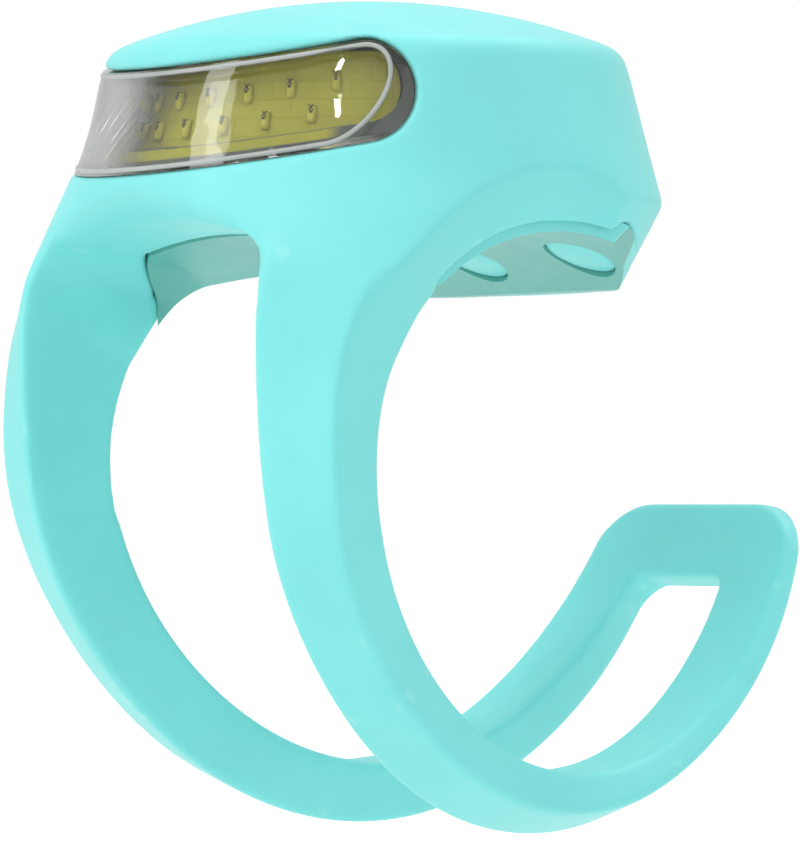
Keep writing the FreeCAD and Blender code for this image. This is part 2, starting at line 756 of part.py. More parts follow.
# All the pieces, the outer ones first
def build():
    os.makedirs("parts", exist_ok=True)
    form = outer_form()
    rubber = silicone(form)
    flex = strap_sector(flex_start_angle, flex_end_angle)
    loop = strap_sector(flex_end_angle, strap_end_angle + 5.0)
    save("silicone_sleeve", rubber.cut(flex).cut(loop))
    save("strap_flex", rubber.common(flex))
    save("strap_loop", rubber.common(loop))
    save("bottom_plate", bottom_plate(form))
    save("rear_hook", rear_hook())

    floor_top = pod_bottom + pod_floor_thickness
    cells_bottom = floor_top + contact_thickness + close_gap
    cells_top = cells_bottom + cell_count * cell_height
    board_bottom = cells_top + contact_thickness + board_gap
    board_top = board_bottom + main_board_thickness
    save("pod_shell", pod_shell(floor_top))
    save("pod_floor", pod_floor(floor_top, board_bottom))
    save("pod_seal", seal_ring(0.0).common(slab(floor_top, floor_top + seal_height)))
    save("pod_screws", pod_screws())

    lens_back = lens_inset + lens_thickness
    save("lens", wall(lens_inset, lens_back).common(lens_window(-fit_gap)))
    gasket = wall(lens_back + fit_gap, lens_back + fit_gap + gasket_thickness)
    gasket = gasket.common(lens_window(-fit_gap)).cut(lens_window(-window_ledge))
    save("lens_gasket", gasket)
    board_back = board_inset + board_thickness
    board_window = window(board_middle, board_half_height, board_half_angle, 0.0)
    room = pod_inside(fit_gap)
    save("light_board", wall(board_inset, board_back).common(board_window).common(room))
    save("light_packages", light_packages())
    carrier = wall(board_back + fit_gap, board_back + fit_gap + carrier_thickness)
    carrier = carrier.common(board_window).common(room)
    tail_height = board_top + tail_rise
    tail_top = tail_height + tail_thickness
    tail_half = tail_width / 2
    tail_front = head_centre_y - cutter_half
    slot_half = tail_half + loose_gap
    tail_slot = box(-slot_half, slot_half, tail_front, 0, tail_height - loose_gap, tail_top + loose_gap)
    save("light_carrier", carrier.cut(tail_slot))

    connector_y = cell_y - cell_radius
    connector = box(-connector_width / 2, connector_width / 2, connector_y - connector_depth, connector_y,
                    board_top, board_top + connector_height)
    tail = box(-tail_half, tail_half, tail_front, connector_y - connector_depth, tail_height, tail_top)
    save("flex_tail", tail.common(head_walls(board_back + close_gap)))
    save("flex_connector", connector)
    save("main_board", head_walls(main_board_inset).common(slab(board_bottom, board_top)))
    chip_top = board_top + chip_height
    chip = box(chip_x, chip_x + chip_size, chip_y, chip_y + chip_size, board_top, chip_top)
    save("controller_chip", chip)
    save("board_parts", board_parts(board_top))
    levels = [cells_bottom + i * cell_height for i in range(cell_count)]
    cells = [rod(cell_radius, cell_height - close_gap, V(0, cell_y, level), Z_AXIS) for level in levels]
    save("coin_cells", Part.makeCompound(cells))
    save("positive_contact", positive_contact(cells_top, board_bottom))
    save("negative_contact", negative_contact(floor_top, board_bottom))

    switch_top = board_top + switch_height
    half = switch_size / 2
    switch = box(-half, half, head_centre_y - half, head_centre_y + half, board_top, switch_top)
    well_depth = button_travel + well_gap
    well = rod(cap_radius + fit_gap, well_depth, V(0, head_centre_y, switch_top - well_depth), Z_AXIS)
    save("switch_body", switch.cut(well))
    pod_top = roof_height - skin - fit_gap
    stem_bottom = pod_top - pod_wall - loose_gap
    cap_start = switch_top - cap_depth
    cap_length = stem_bottom - cap_start - close_gap
    save("switch_cap", rod(cap_radius, cap_length, V(0, head_centre_y, cap_start), Z_AXIS))
    ledge = pod_top - pod_wall + plunger_ledge + button_travel + fit_gap
    disc = rod(button_radius - fit_gap, plunger_cut, V(0, head_centre_y, ledge), Z_AXIS)
    stem = rod(stem_radius, plunger_cut, V(0, head_centre_y, stem_bottom), Z_AXIS)
    save("plunger", disc.fuse(stem).common(head_form(skin + fit_gap)))
    roof = head_form(0.0).cut(head_form(skin))
    button = rod(button_radius, 2 * button_cut, V(0, head_centre_y, roof_height - button_level), Z_AXIS)
    save("press_dome", roof.common(button))


build()
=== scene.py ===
import bpy
import bmesh
import math
import numpy as np
import openvdb
from mathutils import Vector, Matrix
from mathutils.bvhtree import BVHTree


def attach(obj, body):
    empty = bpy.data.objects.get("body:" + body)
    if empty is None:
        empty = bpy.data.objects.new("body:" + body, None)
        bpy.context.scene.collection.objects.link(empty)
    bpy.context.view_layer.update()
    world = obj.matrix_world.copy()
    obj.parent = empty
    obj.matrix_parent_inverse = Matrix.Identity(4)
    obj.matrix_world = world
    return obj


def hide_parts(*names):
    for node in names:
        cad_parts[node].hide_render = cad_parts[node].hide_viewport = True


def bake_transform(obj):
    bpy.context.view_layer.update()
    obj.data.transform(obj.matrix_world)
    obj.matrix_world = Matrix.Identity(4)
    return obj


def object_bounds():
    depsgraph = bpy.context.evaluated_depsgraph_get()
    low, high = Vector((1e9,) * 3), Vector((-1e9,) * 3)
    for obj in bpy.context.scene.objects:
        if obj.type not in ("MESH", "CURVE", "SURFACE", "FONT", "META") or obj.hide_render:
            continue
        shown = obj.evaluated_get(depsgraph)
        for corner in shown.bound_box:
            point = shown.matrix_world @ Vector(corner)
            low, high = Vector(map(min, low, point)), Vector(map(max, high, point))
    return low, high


# Bicycle light in a silicone skin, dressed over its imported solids.
# Metres; the lens looks towards -Y and the handlebar runs along X.
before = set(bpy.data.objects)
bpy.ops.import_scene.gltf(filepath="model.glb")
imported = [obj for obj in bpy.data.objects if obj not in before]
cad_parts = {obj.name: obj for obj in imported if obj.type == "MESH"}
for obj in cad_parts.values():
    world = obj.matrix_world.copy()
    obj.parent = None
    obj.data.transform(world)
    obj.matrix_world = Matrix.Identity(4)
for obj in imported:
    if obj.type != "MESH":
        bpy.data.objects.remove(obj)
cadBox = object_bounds()
mm = 0.001

# Sizes that several pieces share, in millimetres and degrees
headCentreY = -3.0
frontRadius = 15.0
windowPlace = {"middle": 27.65, "tilt": 12.0}
noiseSpan = {"From Min": 0.3, "From Max": 0.7}


# one colour function: sRGB hex to linear
def linear(hexColour):
    values = [int(hexColour[i:i + 2], 16) / 255 for i in (1, 3, 5)]
    return tuple(v / 12.92 if v <= 0.04045 else ((v + 0.055) / 1.055) ** 2.4 for v in values) + (1.0,)


# one function for every node: its kind, its inputs (values or sockets) and its settings
def addNode(tree, kind, inputs=None, **settings):
    node = tree.nodes.new(kind)
    for name, value in settings.items():
        setattr(node, name, value)
    for name, value in (inputs or {}).items():
        if isinstance(value, bpy.types.NodeSocket):
            tree.links.new(value, node.inputs[name])
        else:
            node.inputs[name].default_value = value
    return node


# a material with its object coordinates in millimetres
def startMaterial(name):
    material = bpy.data.materials.new(name)
    material.use_nodes = True
    tree = material.node_tree
    tree.nodes.clear()
    place = addNode(tree, "ShaderNodeTexCoord")
    inMillimetres = addNode(tree, "ShaderNodeVectorMath", {
        0: place.outputs["Object"],
        1: (1 / mm, 1 / mm, 1 / mm),
    }, operation="MULTIPLY")
    return material, tree, inMillimetres.outputs["Vector"]


# the material's shader is its surface
def closeMaterial(tree, shader):
    addNode(tree, "ShaderNodeOutputMaterial", {"Surface": shader.outputs[0]})


# colour between two tones, by a noise whose grains are size millimetres across
def mottled(tree, place, size, dark, light):
    noise = addNode(tree, "ShaderNodeTexNoise", {"Vector": place, "Scale": 1 / size, "Detail": 3.0})
    ramp = addNode(tree, "ShaderNodeMapRange", {"Value": noise.outputs["Fac"], **noiseSpan})
    return addNode(tree, "ShaderNodeMix", {
        "Factor": ramp.outputs["Result"],
        6: linear(dark),
        7: linear(light),
    }, data_type="RGBA").outputs[2]


# roughness between two values, by a noise
def wornRoughness(tree, place, size, low, high):
    noise = addNode(tree, "ShaderNodeTexNoise", {"Vector": place, "Scale": 1 / size, "Detail": 4.0})
    return addNode(tree, "ShaderNodeMapRange", {"Value": noise.outputs["Fac"], **noiseSpan, "To Min": low,
                                                "To Max": high}).outputs["Result"]


# bump from a noise whose grains are size millimetres across and depth millimetres deep
def grainBump(tree, place, size, depth):
    noise = addNode(tree, "ShaderNodeTexNoise", {"Vector": place, "Scale": 1 / size, "Detail": 2.0})
    return addNode(tree, "ShaderNodeBump", {"Height": noise.outputs["Fac"], "Distance": depth * mm,
                                            "Strength": 1.0}).outputs["Normal"]


# edge is the colour of the painted highlight that lightens the skin's sharp edges
siliconeLook = {"dark": "#7bdedd", "light": "#81e4e3", "patch": 9.0, "grain": 0.22, "grainDepth": 0.012,
                "wear": 2.5, "roughLow": 0.42, "roughHigh": 0.52, "edge": "#a4ecea", "highlightFrom": 0.52,
                "highlightTo": 0.62, "highlightShare": 0.35, "ior": 1.41, "scatter": 0.12,
                "scatterRadius": (0.8, 1.0, 1.0), "scatterDepth": 1.2, "bloom": 0.12, "bloomRough": 0.4}


# Liquid silicone rubber, moulded against a fine spark-eroded wall: soft satin with a dusty bloom, and a
# painted highlight that lightens its sharp edges
def makeSilicone():
    look = siliconeLook
    material, tree, place = startMaterial("mouldedSilicone")
    body = mottled(tree, place, look["patch"], look["dark"], look["light"])
    # painted highlight: where pointiness marks a sharp edge, the colour goes towards the lighter edge colour
    geometry = addNode(tree, "ShaderNodeNewGeometry")
    edge = addNode(tree, "ShaderNodeMapRange", {
        "Value": geometry.outputs["Pointiness"],
        "From Min": look["highlightFrom"],
        "From Max": look["highlightTo"],
        "To Min": 0.0,
        "To Max": look["highlightShare"],
    })
    colour = addNode(tree, "ShaderNodeMix", {
        "Factor": edge.outputs["Result"],
        6: body,
        7: linear(look["edge"]),
    }, data_type="RGBA").outputs[2]
    shader = addNode(tree, "ShaderNodeBsdfPrincipled", {
        "Base Color": colour,
        "Roughness": wornRoughness(tree, place, look["wear"], look["roughLow"], look["roughHigh"]),
        "Normal": grainBump(tree, place, look["grain"], look["grainDepth"]),
        "IOR": look["ior"],
        "Subsurface Weight": look["scatter"],
        "Subsurface Radius": look["scatterRadius"],
        "Subsurface Scale": look["scatterDepth"] * mm,
        "Sheen Weight": look["bloom"],
        "Sheen Roughness": look["bloomRough"],
    })
    closeMaterial(tree, shader)
    return material


plasticLook = {"patch": 6.0, "wear": 1.8, "grain": 0.35, "grainDepth": 0.008, "ior": 1.53}


# Moulded plastic: a slight orange-peel and an even satin
def makePlastic(name, dark, light, low, high, grain=plasticLook["grain"], depth=plasticLook["grainDepth"]):
    look = plasticLook
    material, tree, place = startMaterial(name)
    shader = addNode(tree, "ShaderNodeBsdfPrincipled", {
        "Base Color": mottled(tree, place, look["patch"], dark, light),
        "Roughness": wornRoughness(tree, place, look["wear"], low, high),
        "Normal": grainBump(tree, place, grain, depth),
        "IOR": look["ior"],
    })
    closeMaterial(tree, shader)
    return material


metalLook = {"patch": 4.0, "lines": (1, 12, 12), "wear": 1.5, "grain": 1.2, "grainDepth": 0.004}


# Drawn or pressed metal: fine lines along one direction
def makeMetal(name, dark, light, low, high):
    look = metalLook
    material, tree, place = startMaterial(name)
    lines = addNode(tree, "ShaderNodeVectorMath", {0: place, 1: look["lines"]},
                    operation="MULTIPLY").outputs["Vector"]
    shader = addNode(tree, "ShaderNodeBsdfPrincipled", {
        "Base Color": mottled(tree, place, look["patch"], dark, light),
        "Roughness": wornRoughness(tree, lines, look["wear"], low, high),
        "Normal": grainBump(tree, lines, look["grain"], look["grainDepth"]),
        "Metallic": 1.0,
    })
    closeMaterial(tree, shader)
    return material


# places on the head's round front: degrees from the front, and the same place unrolled in millimetres
def unrolled(tree, place):
    parts = addNode(tree, "ShaderNodeSeparateXYZ", {"Vector": place})
    ahead = addNode(tree, "ShaderNodeMath", {0: headCentreY, 1: parts.outputs["Y"]}, operation="SUBTRACT")
    turn = addNode(tree, "ShaderNodeMath", {0: parts.outputs["X"], 1: ahead.outputs[0]}, operation="ARCTAN2")
    degrees = addNode(tree, "ShaderNodeMath", {0: turn.outputs[0]}, operation="DEGREES").outputs[0]
    along = addNode(tree, "ShaderNodeMath", {0: turn.outputs[0], 1: frontRadius}, operation="MULTIPLY")
    flat = addNode(tree, "ShaderNodeCombineXYZ", {"X": along.outputs[0], "Y": parts.outputs["Z"]})
    return degrees, flat.outputs[0]


lensLook = {"clear": "#e9ebe6", "clearLight": "#f1f3ef", "patch": 10.0, "leftEndGrey": "#c6c9c7",
            "greyFrom": 5.0, "greyTo": -14.0, "greyHaze": 0.5, "scratch": "#ffffff",
            "scratchSpacing": 0.35, "scratchLength": 7.0, "scratchLean": 52.0, "scratchFrom": 0.6,
            "scratchTo": 0.68, "roughLow": 0.01, "roughHigh": 0.04, "ripple": 4.0, "rippleDepth": 0.08,
            "ior": 1.53}


# Clear polycarbonate, moulded and polished: glassy and faintly rippled, and greyer and hazier towards its
# left end, where scratches lie
def makeLens():
    look = lensLook
    material, tree, place = startMaterial("polishedPolycarbonate")
    degrees, flat = unrolled(tree, place)
    # the lens goes greyer and less clear towards its left end, by its angle on the head
    greyEnd = addNode(tree, "ShaderNodeMapRange", {
        "Value": degrees,
        "From Min": look["greyFrom"],
        "From Max": look["greyTo"],
    }, interpolation_type="SMOOTHSTEP")
    leaned = addNode(tree, "ShaderNodeVectorRotate", {
        "Vector": flat,
        "Angle": math.radians(-look["scratchLean"]),
    }, rotation_type="Z_AXIS")
    lines = addNode(tree, "ShaderNodeVectorMath",
                    {0: leaned.outputs[0], 1: (1 / look["scratchLength"], 1 / look["scratchSpacing"], 1)},
                    operation="MULTIPLY")
    noise = addNode(tree, "ShaderNodeTexNoise", {
        "Vector": lines.outputs["Vector"],
        "Scale": 1.0,
        "Detail": 3.0,
    })
    thin = addNode(tree, "ShaderNodeMapRange", {
        "Value": noise.outputs["Fac"],
        "From Min": look["scratchFrom"],
        "From Max": look["scratchTo"],
    })
    scratch = addNode(tree, "ShaderNodeMath", {0: thin.outputs[0], 1: greyEnd.outputs[0]}, operation="MULTIPLY")
    clear = mottled(tree, place, look["patch"], look["clear"], look["clearLight"])
    greyedClear = addNode(tree, "ShaderNodeMix", {"Factor": greyEnd.outputs[0], 6: clear, 7: linear(look["leftEndGrey"])},
                   data_type="RGBA").outputs[2]
    colour = addNode(tree, "ShaderNodeMix", {
        "Factor": scratch.outputs[0],
        6: greyedClear,
        7: linear(look["scratch"]),
    }, data_type="RGBA").outputs[2]
    haze = addNode(tree, "ShaderNodeMath", {0: greyEnd.outputs[0], 1: look["greyHaze"]}, operation="MULTIPLY")
    cloudy = addNode(tree, "ShaderNodeMath", {0: haze.outputs[0], 1: scratch.outputs[0]}, operation="MAXIMUM")
    through = addNode(tree, "ShaderNodeMath", {0: 1.0, 1: cloudy.outputs[0]}, operation="SUBTRACT")
    ripples = addNode(tree, "ShaderNodeTexNoise", {
        "Vector": place,
        "Scale": 1 / look["ripple"],
        "Detail": 1.0,
    })
    bump = addNode(tree, "ShaderNodeBump", {
        "Height": ripples.outputs["Fac"],
        "Distance": look["rippleDepth"] * mm,
        "Strength": 1.0,
    })
    shader = addNode(tree, "ShaderNodeBsdfPrincipled", {
        "Base Color": colour,
        "Roughness": wornRoughness(tree, lines.outputs["Vector"], 1.0, look["roughLow"], look["roughHigh"]),
        "Normal": bump.outputs["Normal"],
        "Transmission Weight": through.outputs[0],
        "IOR": look["ior"],
    })
    closeMaterial(tree, shader)
    return material


boardLook = {"dark": "#ded83c", "light": "#eae44a", "patch": 3.0, "trackPitch": 2.6, "trackRow": 1.3,
             "trackGap": 0.08, "trackSoft": 0.5, "trackTones": (1.0, 0.86, 0.2), "trackShare": 0.1,
             "trackDepth": 0.03, "trackBump": 0.5, "grain": 0.5, "grainDepth": 0.01, "wear": 1.2,
             "roughLow": 0.38, "roughHigh": 0.5, "ior": 1.5}


# Flexible light board: yellow-green mask over etched tracks, which stand a little proud
def makeBoard():
    look = boardLook
    material, tree, place = startMaterial("maskedFlexBoard")
    degrees, flat = unrolled(tree, place)
    first, second, gap = [(tone, tone, tone, 1) for tone in look["trackTones"]]
    tracks = addNode(tree, "ShaderNodeTexBrick", {
        "Vector": flat,
        "Scale": 1.0,
        "Mortar Size": look["trackGap"],
        "Mortar Smooth": look["trackSoft"],
        "Brick Width": look["trackPitch"],
        "Row Height": look["trackRow"],
        "Color1": first,
        "Color2": second,
        "Mortar": gap,
    })
    base = mottled(tree, place, look["patch"], look["dark"], look["light"])
    colour = addNode(tree, "ShaderNodeMix", {
        "Factor": look["trackShare"],
        6: base,
        7: tracks.outputs["Color"],
    }, data_type="RGBA", blend_type="MULTIPLY").outputs[2]
    bump = addNode(tree, "ShaderNodeBump", {
        "Height": tracks.outputs["Fac"],
        "Distance": look["trackDepth"] * mm,
        "Strength": look["trackBump"],
        "Normal": grainBump(tree, place, look["grain"], look["grainDepth"]),
    })
    shader = addNode(tree, "ShaderNodeBsdfPrincipled", {
        "Base Color": colour,
        "Roughness": wornRoughness(tree, place, look["wear"], look["roughLow"], look["roughHigh"]),
        "Normal": bump.outputs["Normal"],
        "IOR": look["ior"],
    })
    closeMaterial(tree, shader)
    return material


# seam is the painted shade colour of the thin line along the plate's outer edge
plateLook = {"dark": "#66b4ac", "light": "#6fbcb4", "seam": "#3f7f79", "half": 18.55, "seamWidth": 0.1,
             "rear": 8.0, "wallFacing": 0.6, "rearFacing": 0.25, "roughLow": 0.38, "roughHigh": 0.48}


# Moulded ABS plate with a satin face; its outer walls are overmoulded in the skin's rubber, down to a seam
# that is painted as a dark line of shade
def makePlate():
    look = plateLook
    material, tree, place = startMaterial("mouldedPlateAbs")
    parts = addNode(tree, "ShaderNodeSeparateXYZ", {"Vector": place})
    geometry = addNode(tree, "ShaderNodeNewGeometry")
    facing = addNode(tree, "ShaderNodeSeparateXYZ", {"Vector": geometry.outputs["Normal"]})
    aside = addNode(tree, "ShaderNodeMath", {0: facing.outputs["X"]}, operation="ABSOLUTE")
    turned = addNode(tree, "ShaderNodeMath", {0: aside.outputs[0], 1: look["wallFacing"]},
                     operation="GREATER_THAN")
    backwards = addNode(tree, "ShaderNodeMath", {0: facing.outputs["Y"], 1: look["rearFacing"]},
                        operation="GREATER_THAN")
    behind = addNode(tree, "ShaderNodeMath", {0: parts.outputs["Y"], 1: look["rear"]},
                     operation="GREATER_THAN")
    rear = addNode(tree, "ShaderNodeMath", {0: backwards.outputs[0], 1: behind.outputs[0]},
                   operation="MULTIPLY")
    across = addNode(tree, "ShaderNodeMath", {0: parts.outputs["X"]}, operation="ABSOLUTE")
    outer = addNode(tree, "ShaderNodeMath", {0: across.outputs[0], 1: look["half"] - look["seamWidth"]},
                    operation="GREATER_THAN")
    walls = addNode(tree, "ShaderNodeMath", {0: turned.outputs[0], 1: outer.outputs[0]}, operation="MULTIPLY")
    rubber = addNode(tree, "ShaderNodeMath", {0: walls.outputs[0], 1: rear.outputs[0]}, operation="MAXIMUM")
    plate = mottled(tree, place, plasticLook["patch"], look["dark"], look["light"])
    # painted shade: a darker copy of the plate's teal in a thin band along the outer edge, where the seam to
    # the skin lies
    seamed = addNode(tree, "ShaderNodeMix", {"Factor": outer.outputs[0], 6: plate, 7: linear(look["seam"])},
                     data_type="RGBA").outputs[2]
    side = mottled(tree, place, siliconeLook["patch"], siliconeLook["dark"], siliconeLook["light"])
    colour = addNode(tree, "ShaderNodeMix", {"Factor": rubber.outputs[0], 6: seamed, 7: side},
                     data_type="RGBA").outputs[2]
    shader = addNode(tree, "ShaderNodeBsdfPrincipled", {
        "Base Color": colour,
        "Roughness": wornRoughness(tree, place, plasticLook["wear"], look["roughLow"], look["roughHigh"]),
        "Normal": grainBump(tree, place, plasticLook["grain"], plasticLook["grainDepth"]),
        "IOR": plasticLook["ior"],
    })
    closeMaterial(tree, shader)
    return material


# rim is the painted shade grey that stands for the shadowed gap beside the board
gasketLook = {"rim": "#6a6f6c", "rimShadeLight": "#7a807c", "rimShadePatch": 6.0, "lit": "#d2cc3c",
              "litLight": "#dfd94c", "litPatch": 3.0, "litHeight": 3.05, "litFade": 0.1, "litAngle": 45.0,
              "litTurn": 3.0, "grain": 0.2, "grainDepth": 0.008, "wear": 1.8, "roughLow": 0.45,
              "roughHigh": 0.6, "ior": 1.41}


# Translucent silicone gasket, moulded: it takes the board's yellow inside, and its rim and round end are
# painted grey as the shade in the gap beside the board
def makeGasket():
    look = gasketLook
    material, tree, place = startMaterial("mouldedGasketSilicone")
    degrees, flat = unrolled(tree, place)
    centred = addNode(tree, "ShaderNodeVectorMath", {0: place, 1: (0, headCentreY, windowPlace["middle"])},
                      operation="SUBTRACT")
    level = addNode(tree, "ShaderNodeVectorRotate", {
        "Vector": centred.outputs["Vector"],
        "Angle": math.radians(-windowPlace["tilt"]),
    }, rotation_type="X_AXIS")
    height = addNode(tree, "ShaderNodeSeparateXYZ", {"Vector": level.outputs[0]})
    reach = addNode(tree, "ShaderNodeMath", {0: height.outputs["Z"]}, operation="ABSOLUTE")
    inRows = addNode(tree, "ShaderNodeMapRange", {
        "Value": reach.outputs[0],
        "From Min": look["litHeight"],
        "From Max": look["litHeight"] + look["litFade"],
        "To Min": 1.0,
        "To Max": 0.0,
    })
    ahead = addNode(tree, "ShaderNodeMapRange", {
        "Value": degrees,
        "From Min": look["litAngle"],
        "From Max": look["litAngle"] + look["litTurn"],
        "To Min": 1.0,
        "To Max": 0.0,
    })
    lit = addNode(tree, "ShaderNodeMath", {0: inRows.outputs[0], 1: ahead.outputs[0]}, operation="MULTIPLY")
    # painted shade: grey wherever the gasket stands for the shadowed gap beside the board
    rim = mottled(tree, place, look["rimShadePatch"], look["rim"], look["rimShadeLight"])
    glow = mottled(tree, place, look["litPatch"], look["lit"], look["litLight"])
    colour = addNode(tree, "ShaderNodeMix", {"Factor": lit.outputs[0], 6: rim, 7: glow},
                     data_type="RGBA").outputs[2]
    shader = addNode(tree, "ShaderNodeBsdfPrincipled", {
        "Base Color": colour,
        "Roughness": wornRoughness(tree, place, look["wear"], look["roughLow"], look["roughHigh"]),
        "Normal": grainBump(tree, place, look["grain"], look["grainDepth"]),
        "IOR": look["ior"],
    })
    closeMaterial(tree, shader)
    return material


domeLook = {"dark": "#f0e418", "light": "#fff65e", "patch": 0.35, "wear": 0.4, "roughLow": 0.08,
            "roughHigh": 0.16, "grain": 0.3, "grainDepth": 0.01, "ior": 1.5}


# Clear resin dome over a phosphor: glossy and deep yellow
def makeDomeResin():
    look = domeLook
    material, tree, place = startMaterial("castPhosphorResin")
    shader = addNode(tree, "ShaderNodeBsdfPrincipled", {
        "Base Color": mottled(tree, place, look["patch"], look["dark"], look["light"]),
        "Roughness": wornRoughness(tree, place, look["wear"], look["roughLow"], look["roughHigh"]),
        "Normal": grainBump(tree, place, look["grain"], look["grainDepth"]),
        "IOR": look["ior"],
    })
    closeMaterial(tree, shader)
    return material


# Finishes of the carried-over solids: two tones, and for plastics and metals the least and most roughness
silicone = makeSilicone()
finishes = {
    "bottom_plate": makePlate(),
    "pod_shell": makePlastic("mouldedPodAbs", "#8f9599", "#a3a9ac", 0.45, 0.55),
    "pod_seal": makePlastic("mouldedSealRubber", "#17191a", "#232627", 0.5, 0.62, 0.2, 0.01),
    "lens_gasket": makeGasket(),
    "pod_screws": makeMetal("turnedScrewSteel", "#8d9092", "#a9acae", 0.25, 0.4),
    "lens": makeLens(),
    "light_board": makeBoard(),
    "light_packages": makePlastic("mouldedConnectorNylon", "#d9d6b8", "#e6e4cc", 0.25, 0.35, 0.15, 0.004),
    "main_board": makePlastic("maskedBoardFibreglass", "#1d5a35", "#246a40", 0.3, 0.42, 0.12, 0.006),
    "controller_chip": makePlastic("mouldedChipEpoxy", "#1b1c1e", "#27292b", 0.45, 0.6, 0.1, 0.006),
    "coin_cells": makeMetal("pressedCellSteel", "#b3b5b4", "#c8cac8", 0.18, 0.3),
    "positive_contact": makeMetal("plainContactBronze", "#b88f52", "#cba362", 0.22, 0.35),
}
sameFinish = {
    "bottom_plate": ("rear_hook",),
    "pod_shell": ("pod_floor", "light_carrier", "plunger"),
    "light_board": ("flex_tail",),
    "light_packages": ("flex_connector", "board_parts", "switch_cap"),
    "controller_chip": ("switch_body",),
    "positive_contact": ("negative_contact",),
}
for first, material in finishes.items():
    for node in (first,) + sameFinish.get(first, ()):
        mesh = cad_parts[node].data
        mesh.materials.clear()
        mesh.materials.append(material)
print("materials made:", len(finishes) + 1)


# Silicone skin. Millimetres and degrees; the cuts are the planes that part the strap's solids
skinSizes = {"voxel": 0.2, "quickVoxel": 0.3, "edgeBlur": 0.3, "blurReach": 3, "reach": 1.6, "spareCells": 4,
             "mostTriangles": 180000, "joinAngle": 152.0, "joinSpan": 3.0, "joinFade": 5.0, "joinBlur": 1.3,
             "armInside": 12.0, "armFade": 2.0, "buttonRadius": 8.0, "buttonSlit": 1.00625, "roofFrom": 25.0,
             "strapCentreY": 3.0, "cuts": (208.0, 244.0), "onCut": 0.003, "onRing": 0.08, "onEdge": 0.01,
             "wallFacing": 0.3, "weld": 0.01, "roofSplit": 29.4}


# all the silicone nodes in one mesh, without the faces that only part them
def gatherSkin():
    s = skinSizes
    joined = bmesh.new()
    for node in ("silicone_sleeve", "strap_flex", "strap_loop", "press_dome"):
        joined.from_mesh(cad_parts[node].data)
    centre = Vector((0, s["strapCentreY"] * mm, 0))
    inner = []
    for angle in s["cuts"]:
        a = math.radians(angle)
        across = Vector((0, -math.sin(a), math.cos(a)))
        along = Vector((0, math.cos(a), math.sin(a)))
        for face in joined.faces:
            if all(abs((v.co - centre).dot(across)) < s["onCut"] * mm for v in face.verts):
                if face.calc_center_median().dot(along) > 0:
                    inner.append(face)
    head = Vector((0, headCentreY * mm, 0))
    ring = s["buttonRadius"] * mm
    lowest = s["roofFrom"] * mm
    for face in joined.faces:
        reaches = [(Vector((v.co.x, v.co.y, 0)) - head).length for v in face.verts]
        onWall = min(v.co.z for v in face.verts) > lowest and abs(face.normal.z) < s["wallFacing"]
        if onWall and all(abs(r - ring) < s["onRing"] * mm for r in reaches):
            inner.append(face)
    bmesh.ops.delete(joined, geom=list(set(inner)), context="FACES_ONLY")
    # the button's edge grows over the fit gap, onto the edge of its hole
    for v in joined.verts:
        reach = (Vector((v.co.x, v.co.y, 0)) - head).length
        if v.co.z > lowest and abs(reach - ring) < s["onEdge"] * mm:
            v.co.x *= s["buttonSlit"]
            v.co.y = head.y + (v.co.y - head.y) * s["buttonSlit"]
    bmesh.ops.remove_doubles(joined, verts=joined.verts, dist=s["weld"] * mm)
    mesh = bpy.data.meshes.new("skinGathered")
    joined.to_mesh(mesh)
    joined.free()
    return mesh


# the evaluated object as a plain mesh of its own
def applied(piece):
    graph = bpy.context.evaluated_depsgraph_get()
    mesh = bpy.data.meshes.new_from_object(piece.evaluated_get(graph), depsgraph=graph)
    piece.modifiers.clear()
    piece.data = mesh


# a mesh as an object in the scene, in one material if one is given
def newPiece(name, mesh, material=None):
    piece = bpy.data.objects.new(name, mesh)
    bpy.context.scene.collection.objects.link(piece)
    if material is not None:
        mesh.materials.clear()
        mesh.materials.append(material)
    return piece


# weights of a blur whose width is given in cells
def blurWeights(width):
    furthest = math.ceil(skinSizes["blurReach"] * width)
    steps = np.arange(-furthest, furthest + 1)
    weights = np.exp(-0.5 * (steps / width) ** 2)
    return [(int(step), np.float32(weight)) for step, weight in zip(steps, weights / weights.sum())]


# distances blurred along each axis, which rounds every edge by about the width of the blur
def blurEvenly(field, width):
    for axis in range(3):
        field = sum(np.roll(field, step, axis=axis) * weight for step, weight in blurWeights(width))
    return field


# distances blurred only along the strap where it leaves the head, so the two forms flow into each other
def blurAlongStrap(field, low, cell):
    s = skinSizes
    a = math.radians(s["joinAngle"])
    slope = math.sin(a) / math.cos(a)
    flowed = np.zeros_like(field)
    for step, weight in blurWeights(s["joinBlur"] * abs(math.cos(a)) / cell):
        across = -step * slope
        whole = math.floor(across)
        part = np.float32(across - whole)
        moved = np.roll(field, step, axis=2)
        before = np.roll(moved, whole, axis=1)
        after = np.roll(moved, whole + 1, axis=1)
        flowed += weight * ((1 - part) * before + part * after)
    y = (np.arange(field.shape[1]) + low[1]) * cell - s["strapCentreY"]
    z = (np.arange(field.shape[2]) + low[2]) * cell
    turn = np.degrees(np.arctan2(z[None, :], y[:, None])) % 360
    away = np.clip((np.abs(turn - s["joinAngle"]) - s["joinSpan"]) / s["joinFade"], 0, 1)
    x = np.abs((np.arange(field.shape[0]) + low[0]) * cell)
    onArm = np.clip((x - s["armInside"]) / s["armFade"], 0, 1)
    share = (onArm[:, None, None] * (1 - away * away * (3 - 2 * away))[None]).astype(np.float32)
    return field * (1 - share) + flowed * share


